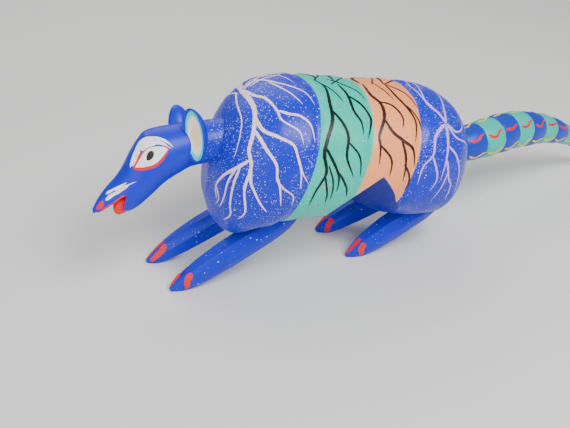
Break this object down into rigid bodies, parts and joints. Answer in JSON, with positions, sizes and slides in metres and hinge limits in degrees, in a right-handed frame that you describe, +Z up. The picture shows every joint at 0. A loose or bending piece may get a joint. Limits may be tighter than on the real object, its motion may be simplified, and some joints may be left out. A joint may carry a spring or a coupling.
{
  "type": "carved wooden animal figure",
  "caption": "Carved, painted wooden animal with a banded body, pointed snout, low legs and a ringed tail; its ears and tail pull out of their sockets.",
  "frame": {"origin": "on the surface that the paws stand on, under the middle of the figure's length and width", "axes": "+Z up, +Y along the body from the snout to the tail's tip, +X towards the animal's left side"},
  "size_m": [0.063, 0.2587, 0.0825],
  "materials": {
    "painted_trunk": "satin acrylic paint on carved wood",
    "painted_head": "satin acrylic paint on carved wood",
    "painted_ears": "satin acrylic paint on carved wood",
    "painted_legs": "satin acrylic paint on carved wood",
    "painted_tail": "satin acrylic paint on carved wood",
    "bare_dowel": "bare turned wood"
  },
  "bodies": {
    "figure": {"trunk": "painted_trunk", "head": "painted_head", "front_left_leg": "painted_legs", "front_right_leg": "painted_legs", "hind_left_leg": "painted_legs", "hind_right_leg": "painted_legs", "front_left_dowel": "bare_dowel", "front_right_dowel": "bare_dowel", "hind_left_dowel": "bare_dowel", "hind_right_dowel": "bare_dowel"},
    "left_ear": {"left_ear": "painted_ears"},
    "right_ear": {"right_ear": "painted_ears"},
    "tail": {"tail": "painted_tail", "tail_dowel": "bare_dowel"}
  },
  "joints": [
    {"name": "tail_pull", "type": "slide", "parent": "figure", "child": "tail", "axis": [-0.1392, 0.9903, 0], "range_m": [0, 0.016]},
    {"name": "left_ear_pull", "type": "slide", "parent": "figure", "child": "left_ear", "axis": [0.9063, 0, 0.4226], "range_m": [0, 0.006]},
    {"name": "right_ear_pull", "type": "slide", "parent": "figure", "child": "right_ear", "axis": [-0.9063, 0, -0.4226], "range_m": [0, 0.006]}
  ]
}
